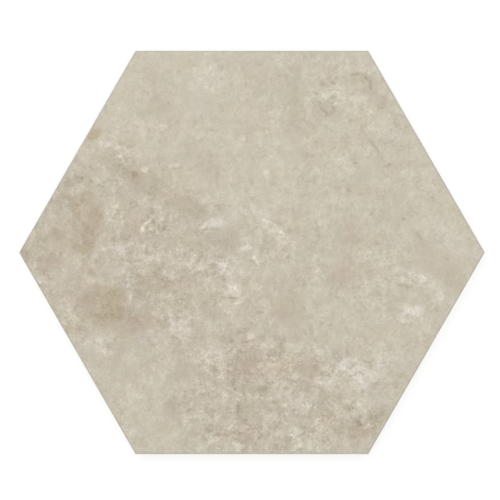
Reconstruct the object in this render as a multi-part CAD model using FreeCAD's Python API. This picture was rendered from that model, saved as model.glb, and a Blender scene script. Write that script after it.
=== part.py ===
"""Hexagonal stone-look floor tile: one dry-pressed, fired and edge-ground piece of porcelain stoneware.

The tile lies on its back, face up. +X runs through two opposite corners and +Y through the middle of two
opposite sides. The origin is at the centre of the plane that the back rests on. Every length is in millimetres.

Seen from the side, the body has four outlines, one above the other:
  the back, a little narrower, because the press leaves a bevel round it
  the foot of the ground wall
  the head of the ground wall
  the face, narrower by the arris that is ground along its rim

The back has the honeycomb that the die presses into it so that the bedding mortar keys: hexagonal pockets with
leaning walls, whole ones only, inside a plain rim that the tile is handled by.
"""

import FreeCAD
import Part

import math
import os

# The format, as it is sold
ACROSS_FLATS = 250.0  # between two opposite sides
THICKNESS = 9.0  # from the plane that the back rests on to the face

# The rim
FACE_ARRIS = 0.5  # width and height of the ground arris round the face
BACK_BEVEL_WIDTH = 0.8  # how far the pressed bevel runs in under the tile
BACK_BEVEL_HEIGHT = 1.2  # how far it runs up the wall

# The honeycomb in the back
CELL_PITCH = 17.8  # between the middles of two neighbouring pockets
RIB_WIDTH = 2.4  # land left between two pockets, at the plane that the back rests on
POCKET_DEPTH = 0.7
POCKET_DRAFT = 30.0  # degrees that a pocket's walls lean outwards, so that the die lifts out
RIM_LAND = 7.0  # least width of plain land between a pocket and the bevel


def corner_radius(across_flats):
    """From the middle of a regular hexagon to its corners."""
    return across_flats / math.sqrt(3)


def hexagon(across_flats, z, first_corner=0):
    """The six corners of a regular hexagon round the Z axis, the first one first_corner degrees from +X."""
    radius = corner_radius(across_flats)
    corners = []
    for degrees in range(first_corner, first_corner + 360, 60):
        turn = math.radians(degrees)
        corners.append(FreeCAD.Vector(radius * math.cos(turn), radius * math.sin(turn), z))
    return corners


def flat_face(corners):
    """A flat face inside a ring of corners."""
    return Part.Face(Part.makePolygon(corners + corners[:1]))


def flat_sided_solid(outlines):
    """A solid with flat sides from each outline to the next one above, closed at the lowest and the highest."""
    faces = [flat_face(outlines[0]), flat_face(outlines[-1])]
    for lower, upper in zip(outlines, outlines[1:]):
        for i in range(len(lower)):
            before = i - 1
            faces.append(flat_face([lower[before], lower[i], upper[i], upper[before]]))
    return Part.Solid(Part.Shell(faces))


def tile_blank():
    """The body before its back is relieved."""
    return flat_sided_solid([
        hexagon(ACROSS_FLATS - 2 * BACK_BEVEL_WIDTH, 0),
        hexagon(ACROSS_FLATS, BACK_BEVEL_HEIGHT),
        hexagon(ACROSS_FLATS, THICKNESS - FACE_ARRIS),
        hexagon(ACROSS_FLATS - 2 * FACE_ARRIS, THICKNESS),
    ])


def pocket():
    """The space of one pocket round the origin, its flats turned to its neighbours.

    It starts as far below the back as the pocket is deep, so that it cuts cleanly, and narrows by the draft.
    """
    mouth = CELL_PITCH - RIB_WIDTH
    narrowing = 2 * POCKET_DEPTH * math.tan(math.radians(POCKET_DRAFT))
    start = hexagon(mouth + narrowing, -POCKET_DEPTH, 30)
    floor = hexagon(mouth - narrowing, POCKET_DEPTH, 30)
    return flat_sided_solid([start, floor])


def pocket_places():
    """The middles of the whole pockets that fit inside the rim, in a honeycomb round the middle of the back."""
    row_pitch = CELL_PITCH * math.sqrt(3) / 2
    pocket_reach = corner_radius(CELL_PITCH - RIB_WIDTH)
    room = ACROSS_FLATS / 2 - BACK_BEVEL_WIDTH - RIM_LAND - pocket_reach
    rings = math.floor(room / row_pitch)
    places = []
    for row in range(-rings, rings + 1):
        in_row = 2 * rings + 1 - abs(row)
        for i in range(in_row):
            along = i - (in_row - 1) / 2
            places.append(FreeCAD.Vector(CELL_PITCH * along, row_pitch * row, 0))
    return places


def tile():
    """The blank with every pocket of the honeycomb pressed into its back."""
    one_pocket = pocket()
    return tile_blank().cut([one_pocket.translated(place) for place in pocket_places()])


def main():
    os.makedirs("parts", exist_ok=True)
    body = tile().Solids[0]
    body.exportStep("parts/tile.step")
    print("pockets", len(pocket_places()), "faces", len(body.Faces), "volume", round(body.Volume), "mm3")


main()
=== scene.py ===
# %% [markdown]
# # Hexagon floor tile
# A porcelain stoneware tile is one piece. Clay powder is pressed in a die, a picture of stone is printed on
# it, and the tile is glazed, fired and ground to size. The CAD model has its form. Blender gives it the
# softly uneven face, the print, the ground edges and the pressed back.
# The model is loaded first, and its box is kept, because the finished piece has to stay inside it.

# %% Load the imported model
import math

import bmesh
import bpy
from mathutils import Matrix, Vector, kdtree, noise


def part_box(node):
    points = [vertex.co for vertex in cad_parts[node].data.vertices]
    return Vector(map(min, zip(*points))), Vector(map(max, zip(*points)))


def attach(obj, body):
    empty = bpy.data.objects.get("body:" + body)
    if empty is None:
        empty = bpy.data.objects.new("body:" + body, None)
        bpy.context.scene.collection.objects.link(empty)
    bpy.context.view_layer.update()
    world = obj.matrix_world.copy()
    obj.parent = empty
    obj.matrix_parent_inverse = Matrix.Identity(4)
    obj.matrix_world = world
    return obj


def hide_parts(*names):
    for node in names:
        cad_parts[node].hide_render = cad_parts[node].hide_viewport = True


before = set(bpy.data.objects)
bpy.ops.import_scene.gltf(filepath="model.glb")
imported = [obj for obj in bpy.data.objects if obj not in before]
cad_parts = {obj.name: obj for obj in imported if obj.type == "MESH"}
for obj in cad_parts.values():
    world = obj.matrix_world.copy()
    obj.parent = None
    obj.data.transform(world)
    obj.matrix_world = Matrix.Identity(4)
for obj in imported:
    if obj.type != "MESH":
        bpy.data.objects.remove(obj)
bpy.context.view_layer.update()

# %% [markdown]
# ## Sizes
# Blender works in metres, so a millimetre gets a name. The two sizes that the frame knows are read from it.
# The rest repeats what the die and the grinding wheels give such a tile.

# %% Sizes of the tile
MM = 0.001

tile_low, tile_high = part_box("tile")
across_flats = tile_high.y - tile_low.y
face_height = tile_high.z

ARRIS = 0.5 * MM  # the ground chamfer round the face
BEVEL_WIDTH = 0.8 * MM  # the pressed bevel round the back
BEVEL_HEIGHT = 1.2 * MM
CELL_PITCH = 17.8 * MM  # between two neighbouring pockets in the back
RIB_WIDTH = 2.4 * MM
POCKET_DEPTH = 0.7 * MM
POCKET_DRAFT = math.radians(30)
POCKET_ROUNDING = 1.2 * MM  # radius of a pocket's upright corners
RIM_LAND = 7.0 * MM

face_flats = across_flats - 2 * ARRIS
back_flats = across_flats - 2 * BEVEL_WIDTH

CORNER_TURN = math.radians(60)  # what the outline of a hexagon turns by at each corner
CORNER_TO_X = CORNER_TURN / 2  # a new hexagon has a corner on +Y, and this turn puts one on +X


def corner_radius(flats):
    """From the middle of a regular hexagon to its corners."""
    return flats / math.sqrt(3)


print("across flats", round(across_flats / MM, 2), "mm, thickness", round(face_height / MM, 2), "mm")

# %% [markdown]
# ## Camera
# The photo looks straight down on the tile. A camera that isn't turned looks down along Z with Y upwards,
# which is that view. A long lens keeps the picture flat. Its height follows from how many pixels the tile
# fills, and its place from where the tile's middle is in the photo.

# %% Camera
PHOTO_SIDE = 500  # pixels
TILE_IN_PHOTO = 403.6  # pixels between the tile's upper and lower side
MIDDLE_IN_PHOTO = (251.9, 252.45)  # the tile's middle, in pixels from the upper left corner
LENS = 85  # mm
SENSOR = 36  # mm

pixel = across_flats / TILE_IN_PHOTO
camera_height = LENS / SENSOR * PHOTO_SIDE * pixel

camera_data = bpy.data.cameras.new("camera")
camera_data.lens = LENS
camera_data.sensor_width = SENSOR
camera = bpy.data.objects.new("camera", camera_data)
camera.location = (
    (PHOTO_SIDE / 2 - MIDDLE_IN_PHOTO[0]) * pixel,
    (MIDDLE_IN_PHOTO[1] - PHOTO_SIDE / 2) * pixel,
    face_height + camera_height,
)
bpy.context.collection.objects.link(camera)
bpy.context.scene.camera = camera
print("camera", round(camera_height / MM), "mm above the face, one pixel is", round(pixel / MM, 3), "mm")

# %% [markdown]
# ## Shader maths
# A material is a net of nodes, and sums of many nodes are hard to read as calls. This class wraps an output
# socket, so that plus, minus and times between two of them add the Math or Vector Math node by themselves.
# A second class holds the net and adds any other node: the settings first, because some of them change the
# node's sockets, then the values or links of its inputs. A material is such a net that starts with a
# shader.

# %% Sockets that can be calculated with
class Signal:
    """What a node gives out, used in sums like a number."""

    def __init__(self, net, socket):
        self.net = net
        self.socket = socket

    def __add__(self, other):
        return self.net.sum_node("ADD", self, other)

    def __sub__(self, other):
        return self.net.sum_node("SUBTRACT", self, other)

    def __rsub__(self, other):
        return self.net.sum_node("SUBTRACT", other, self)

    def __mul__(self, other):
        return self.net.sum_node("MULTIPLY", self, other)

    __radd__ = __add__
    __rmul__ = __mul__


class Net:
    """A net of nodes, which are added by calls."""

    def __init__(self, tree):
        self.tree = tree

    def feed(self, socket, value):
        if isinstance(value, Signal):
            self.tree.links.new(value.socket, socket)
        else:
            socket.default_value = value

    def node(self, kind, settings, feeds, out=0):
        node = self.tree.nodes.new(kind)
        for name, value in settings.items():
            setattr(node, name, value)
        for name, value in feeds.items():
            self.feed(node.inputs[name], value)
        return Signal(self, node.outputs[out])

    def sum_node(self, operation, first, second):
        def is_vector(value):
            return isinstance(value, tuple) or isinstance(value, Signal) and value.socket.type == "VECTOR"

        kind = "ShaderNodeVectorMath" if is_vector(first) or is_vector(second) else "ShaderNodeMath"
        return self.node(kind, {"operation": operation}, {0: first, 1: second})

    def mix(self, factor, first, second):
        """From the first colour to the second."""
        return self.node("ShaderNodeMix", {"data_type": "RGBA"}, {0: factor, 6: first, 7: second}, 2)

    def spread(self, value, start, end, low=0.0, high=1.0):
        """Goes smoothly from low to high while the value goes from start to end."""
        feeds = {"Value": value, "From Min": start, "From Max": end, "To Min": low, "To Max": high}
        settings = {"interpolation_type": "SMOOTHSTEP", "clamp": False}
        return self.node("ShaderNodeMapRange", settings, feeds)

    def noise(self, place, size, octaves, roughness=1.0, out="Fac", dimensions="2D"):
        """Cloudy noise round 0. The largest clouds have the given size, each octave's are half as large."""
        settings = {"noise_dimensions": dimensions, "normalize": False}
        feeds = {"Vector": place, "Scale": 1 / size, "Detail": octaves - 1, "Roughness": roughness}
        return self.node("ShaderNodeTexNoise", settings, feeds, out)

    def bump(self, height, depth):
        """Normals that look as if the surface rose and fell with this value, by this depth."""
        return self.node("ShaderNodeBump", {}, {"Strength": 1.0, "Distance": depth, "Height": height})


class Finish(Net):
    """The net of a material, with the shader that it starts from."""

    def __init__(self, name, settings):
        self.material = bpy.data.materials.new(name)
        self.material.use_nodes = True
        super().__init__(self.material.node_tree)
        self.shader = self.tree.nodes["Principled BSDF"]
        self.shade(settings)

    def shade(self, settings):
        """Sets or links sockets of the shader."""
        for name, value in settings.items():
            self.feed(self.shader.inputs[name], value)


# The curve of a screen, for all but its darkest levels
SCREEN_WHITE = 255
CURVE_OFFSET = 0.055
CURVE_POWER = 2.4


def screen_colour(*levels):
    """A colour as picked on a screen, in levels of red, green and blue, as a shader counts it."""
    shares = [level / SCREEN_WHITE for level in levels]
    return (*(((share + CURVE_OFFSET) / (1 + CURVE_OFFSET)) ** CURVE_POWER for share in shares), 1.0)


# %% [markdown]
# ## Floor and light
# The tile was photographed for a catalogue, on pure white and with hardly a shadow. White comes from the
# floor as the camera sees it: a share of plain white light that only camera, mirror and glass rays find.
# The other share is a white floor that the lamps light, so the tile still throws a faint shadow. It fades
# out away from the tile, where the lamps don't reach. Brighter lamps would also give a white floor, but
# would wash out the tile. Under the tile the floor has an opening, a little smaller than its back. No
# picture from above shows it, and through it the back can be looked at from below, as through a glass
# table.

# %% White floor
FLOOR_SIDE = 12.0  # metres
SHADOW_SHARE = 0.28  # how much of the floor's white comes from the lamps
FLOOR_WHITE = 1.06  # a little over 1, so that the lit floor ends up fully white
SHADOW_REACH = (0.3, 1.0)  # metres from the tile's middle, over which that share fades out
SUPPORT = 0.3 * MM  # how far the floor reaches in under the tile
FLOOR_PAINT = screen_colour(235, 235, 235)


def seen_directly(net):
    """1 for rays from the camera, from a mirror-like surface or through glass, and 0 for all others."""
    rays = [net.node("ShaderNodeLightPath", {}, {}, out) for out in
            ("Is Camera Ray", "Is Glossy Ray", "Is Transmission Ray")]
    return net.spread(rays[0] + rays[1] + rays[2], 0, 1)


bpy.ops.object.select_all(action="DESELECT")
bpy.ops.mesh.primitive_plane_add(size=FLOOR_SIDE)
floor = bpy.context.object
floor.name = "floor"
bpy.ops.object.mode_set(mode="EDIT")
bpy.ops.mesh.delete(type="ONLY_FACE")
bpy.ops.mesh.primitive_circle_add(
    vertices=6, radius=corner_radius(back_flats - 2 * SUPPORT), fill_type="NOTHING",
    rotation=(0, 0, CORNER_TO_X))
bpy.ops.mesh.select_all(action="SELECT")
bpy.ops.mesh.fill(use_beauty=True)
bpy.ops.object.mode_set(mode="OBJECT")

floor_finish = Finish("white_floor", {"Base Color": FLOOR_PAINT, "Roughness": 0.9})
floor_place = floor_finish.node("ShaderNodeTexCoord", {}, {}, "Object")
away = floor_finish.node("ShaderNodeVectorMath", {"operation": "LENGTH"}, {0: floor_place}, "Value")
shadow_share = floor_finish.spread(away, *SHADOW_REACH, SHADOW_SHARE, 0)
lit = floor_finish.node("ShaderNodeBsdfDiffuse", {}, {"Color": shadow_share})
glow = floor_finish.node("ShaderNodeEmission", {}, {"Strength": FLOOR_WHITE - shadow_share})
both = floor_finish.node("ShaderNodeAddShader", {}, {0: lit, 1: glow})
plain = Signal(floor_finish, floor_finish.shader.outputs[0])
surface = floor_finish.node("ShaderNodeMixShader", {}, {0: seen_directly(floor_finish), 1: plain, 2: both})
floor_finish.feed(floor_finish.tree.nodes["Material Output"].inputs["Surface"], surface)
floor.data.materials.append(floor_finish.material)
print("floor", FLOOR_SIDE, "m,", len(floor.data.polygons), "triangles,",
      round(100 * SHADOW_SHARE), "% of its white takes the shadow")

# %% [markdown]
# Each lamp is a large soft panel that is aimed at the tile, and the sky fills in evenly. A lamp is given as
# the share of full light that it brings to a level white surface, and its power is worked out from that.
# From above, all shares together come to 1, at which a matt colour renders as it is written. The lamps
# stand well to the side, so that their mirror image in the glaze misses the camera, as on a copy stand. One
# lamp stands below the floor, where it lights only the back, at a low angle that brings out the relief.

# %% Sky and lamps
SKY_SHARE = 0.36
LAMP_DISTANCE = 1.3  # metres
LAMP_SIDE = 0.9  # metres
# Direction round the tile and height above the horizon in degrees, and the share of light
LAMPS = {
    "key_panel": (125, 52, 0.26),
    "side_panel": (35, 50, 0.16),
    "left_panel": (215, 50, 0.12),
    "fill_panel": (305, 52, 0.10),
    "back_panel": (160, -35, 0.55),
}

world = bpy.data.worlds.new("studio")
world.use_nodes = True
bpy.context.scene.world = world
sky = Net(world.node_tree)
light = sky.node("ShaderNodeBackground", {}, {"Color": (1, 1, 1, 1), "Strength": SKY_SHARE})
backdrop = sky.node("ShaderNodeBackground", {}, {"Color": (1, 1, 1, 1), "Strength": 1.0})
seen = sky.node("ShaderNodeMixShader", {}, {0: seen_directly(sky), 1: light, 2: backdrop})
sky.feed(sky.tree.nodes["World Output"].inputs["Surface"], seen)

for name, (around, above, share) in LAMPS.items():
    around = math.radians(around)
    above = math.radians(above)
    place = LAMP_DISTANCE * Vector((
        math.cos(above) * math.cos(around), math.cos(above) * math.sin(around), math.sin(above)))
    lamp_data = bpy.data.lights.new(name, "AREA")
    lamp_data.size = LAMP_SIDE
    lamp_data.energy = share * math.pi ** 2 * LAMP_DISTANCE ** 2 / abs(math.sin(above))
    lamp = bpy.data.objects.new(name, lamp_data)
    lamp.location = place
    lamp.rotation_euler = place.to_track_quat("Z", "Y").to_euler()
    bpy.context.collection.objects.link(lamp)
    print(name, round(lamp_data.energy, 2), "W")

bpy.context.scene.view_settings.view_transform = "Standard"

# %% [markdown]
# ## Selecting by place
# By hand, faces and edges are clicked. A script has no mouse, so it selects them by where they are. These
# two helpers make one object the one that is worked on, and select the parts of its mesh for which a test
# is true.

# %% Helpers for selecting
def work_on(piece, mode):
    """Leaves only this piece selected, in object or edit mode."""
    if bpy.context.object and bpy.context.object.mode != "OBJECT":
        bpy.ops.object.mode_set(mode="OBJECT")
    bpy.ops.object.select_all(action="DESELECT")
    piece.select_set(True)
    bpy.context.view_layer.objects.active = piece
    bpy.ops.object.mode_set(mode=mode)


def pick(piece, kind, wanted):
    """In edit mode, selects the vertices, edges or faces that are wanted, and nothing else."""
    bpy.ops.mesh.select_mode(type=kind)
    bpy.ops.mesh.select_all(action="DESELECT")
    shape = bmesh.from_edit_mesh(piece.data)
    elements = {"VERT": shape.verts, "EDGE": shape.edges, "FACE": shape.faces}[kind]
    found = [element for element in elements if wanted(element)]
    for element in found:
        element.select_set(True)
    bmesh.update_edit_mesh(piece.data)
    return len(found)


RIM_TOLERANCE = 0.05 * MM  # within this distance, a point counts as on the rim of the face


def outward(point):
    """How far a point is from the middle, towards the nearest side of the hexagon."""
    turns = (math.radians(degrees) for degrees in (30, 90, 150))
    return max(abs(point.x * math.cos(turn) + point.y * math.sin(turn)) for turn in turns)


# %% [markdown]
# ## Face
# The face looks flat, but a stone-look die leaves it softly uneven. A hexagon of six triangles is cut into
# an even net of small triangles, fine enough to carry that. A sculpted face would do too, but a Displace
# modifier with a cloud texture gives the same gentle waves at once, and only downwards, so the tile keeps
# its thickness.

# %% A net of triangles for the face
CUTS = (15, 8)  # they part every edge in 16, and then each of those in 9

bpy.ops.object.select_all(action="DESELECT")
bpy.ops.mesh.primitive_circle_add(
    vertices=6, radius=corner_radius(face_flats), fill_type="TRIFAN",
    location=(0, 0, face_height), rotation=(0, 0, CORNER_TO_X))
tile = bpy.context.object
tile.name = "tile_body"
bpy.ops.object.transform_apply()

work_on(tile, "EDIT")
for cuts in CUTS:
    bpy.ops.mesh.subdivide(number_cuts=cuts)
bpy.ops.object.mode_set(mode="OBJECT")
print("face", len(tile.data.polygons), "triangles")

# %% Gentle waves from two cloud textures
# The size of the waves and how deep they reach
WAVES = {
    "broad_waves": (26 * MM, 0.16 * MM),
    "small_waves": (5 * MM, 0.07 * MM),
}


def pressed_waves(piece, name, size, depth):
    """Presses waves of this size down into a level piece."""
    clouds = bpy.data.textures.new(name, "CLOUDS")
    clouds.noise_scale = size
    clouds.noise_depth = 1
    work_on(piece, "OBJECT")
    waves = piece.modifiers.new(name, "DISPLACE")
    waves.texture = clouds
    waves.texture_coords = "LOCAL"
    waves.direction = "Z"
    waves.mid_level = 1
    waves.strength = depth
    bpy.ops.object.modifier_apply(modifier=name)


for name, (size, depth) in WAVES.items():
    pressed_waves(tile, name, size, depth)
mean_depth = sum(depth for size, depth in WAVES.values()) / 2  # a cloud texture is half grey on average
heights = [vertex.co.z for vertex in tile.data.vertices]
print("face lies", round((max(heights) - min(heights)) / MM, 3), "mm deep at most")

# %% [markdown]
# ## Edges
# The rim of the face is extruded and widened into the arris, then down into the ground wall and in under
# the tile along the pressed bevel. Scaling the new edges to nothing along Z, round a point at the wanted
# height, lays them level there, whatever the waves of the face did to the rim.

# %% Arris, wall and bevel
EDGE_OUTLINES = [
    ("arris", across_flats, face_height - ARRIS),
    ("wall", across_flats, BEVEL_HEIGHT),
    ("bevel", back_flats, 0.0),
]

work_on(tile, "EDIT")
pick(tile, "EDGE", lambda edge: edge.is_boundary)
flats_now = face_flats
for name, flats, height in EDGE_OUTLINES:
    bpy.ops.mesh.extrude_region_move()
    widening = flats / flats_now
    bpy.ops.transform.resize(value=(widening, widening, 0), center_override=(0, 0, height))
    flats_now = flats
    print(name, "ends", round(flats / MM, 2), "mm across flats at", round(height / MM, 2), "mm")
bpy.ops.object.mode_set(mode="OBJECT")

# %% [markdown]
# ## Honeycomb back
# The die presses pockets into the back, so that the mortar gets a grip. One cell of the honeycomb is
# modelled: a hexagon as wide as the pocket's mouth, its corners rounded. Insets that also sink then take it
# down over the softened rim, the leaning wall and the hollow foot of the wall to the floor. At last the
# land is filled in between the mouth and the cell's outline, halfway to its neighbours.

# %% One cell
MOUTH_SOFTENING = 0.2 * MM  # how far the softened rim reaches out over the land
CORNER_STEPS = 3
# How far each ring runs in and up, in shares of the drafted wall's run and of the depth
WALL_STEPS = [(0.0, 0.07), (0.2, 0.18), (0.48, 0.47), (0.3, 0.2), (0.42, 0.08)]

mouth_flats = CELL_PITCH - RIB_WIDTH
wall_run = POCKET_DEPTH * math.tan(POCKET_DRAFT)

bpy.ops.object.select_all(action="DESELECT")
bpy.ops.mesh.primitive_circle_add(
    vertices=6, radius=corner_radius(mouth_flats + 2 * MOUTH_SOFTENING), fill_type="NGON")
cell = bpy.context.object
cell.name = "cell"
work_on(cell, "EDIT")
bpy.ops.mesh.flip_normals()
bpy.ops.mesh.bevel(
    offset=POCKET_ROUNDING * math.tan(CORNER_TURN / 2), segments=CORNER_STEPS, affect="VERTICES")
for i, (run, rise) in enumerate(WALL_STEPS):
    inward = run * wall_run + (MOUTH_SOFTENING if i == 0 else 0)
    bpy.ops.mesh.inset(thickness=inward, depth=-rise * POCKET_DEPTH)

bpy.ops.mesh.primitive_circle_add(vertices=6, radius=corner_radius(CELL_PITCH), fill_type="NOTHING")
pick(cell, "EDGE", lambda edge: edge.is_boundary or edge.is_wire)
bpy.ops.mesh.fill(use_beauty=True)
pick(cell, "FACE", lambda part: part.normal.z > 0)
bpy.ops.mesh.flip_normals()
bpy.ops.object.mode_set(mode="OBJECT")
print("one cell", len(cell.data.polygons), "faces")

# %% [markdown]
# Whole cells only are placed, ring by ring round the middle, until the next ring would cut into the plain
# rim that the tile is handled by. Each copy has a mesh of its own, and then all are joined and welded.

# %% Copies of the cell
row_pitch = CELL_PITCH * math.sqrt(3) / 2
room = across_flats / 2 - BEVEL_WIDTH - RIM_LAND - corner_radius(mouth_flats)
rings = math.floor(room / row_pitch)

copies = []
for row in range(-rings, rings + 1):
    in_row = 2 * rings + 1 - abs(row)
    for i in range(in_row):
        copy = cell.copy()
        copy.data = cell.data.copy()
        copy.location = (CELL_PITCH * (i - (in_row - 1) / 2), row_pitch * row, 0)
        bpy.context.collection.objects.link(copy)
        copies.append(copy)
bpy.data.objects.remove(cell)

work_on(tile, "OBJECT")
for copy in copies:
    copy.select_set(True)
bpy.ops.object.join()
print(len(copies), "pockets in", rings, "rings")

# %% [markdown]
# Joined, the cells still have an outline each. Merging by distance welds them to each other. Two open
# outlines are left, that of the honeycomb and the lower end of the bevel, and filling between them makes
# the plain rim.

# %% Weld the cells and close the rim
WELD = 0.005 * MM
SHARP_FROM = math.radians(35)  # an edge that turns by more stays sharp

work_on(tile, "EDIT")
pick(tile, "VERT", lambda vertex: vertex.co.z < BEVEL_HEIGHT / 2)
bpy.ops.mesh.remove_doubles(threshold=WELD)
pick(tile, "EDGE", lambda edge: edge.is_boundary)
bpy.ops.mesh.fill(use_beauty=True)
bpy.ops.mesh.select_all(action="SELECT")
bpy.ops.mesh.normals_make_consistent(inside=False)
bpy.ops.object.mode_set(mode="OBJECT")
bpy.ops.object.shade_smooth_by_angle(angle=SHARP_FROM)

check = bmesh.new()
check.from_mesh(tile.data)
open_edges = sum(not edge.is_manifold for edge in check.edges)
print("volume", round(check.calc_volume() / MM ** 3), "mm3,", open_edges, "open edges,",
      sum(len(face.verts) - 2 for face in check.faces), "triangles")
check.free()

# %% [markdown]
# ## Printed face
# The print is a beige-grey limestone, worn smooth, full of crushed fragments and stained here and there.
# Its large forms are painted on the vertices of the face, which lie a millimetre apart, like strokes with a
# soft brush. The fine grain comes from the shader, because it is finer than the vertices.
# Paint is counted in screen levels of red, green and blue. 10 levels are just visible, 50 are far apart.
# The stains of this very tile are placed one by one: a stroke is an oval with its middle, half length, half
# width, turn and strength, in millimetres, degrees and levels.

# %% Colours of the paint, for one level of strength
COLOURS = {
    "ochre": (-0.77, -1.0, -1.23),
    "rose": (-0.72, -1.13, -1.05),
    "grey": (-0.92, -1.03, -1.05),
    "olive": (-0.88, -0.88, -1.3),
    "milky": (0.85, 0.93, 1.2),
    "cream": (0.98, 1.04, 0.98),
}
COLOURS["dark"] = COLOURS["grey"]  # for holes, pores and hairlines

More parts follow.
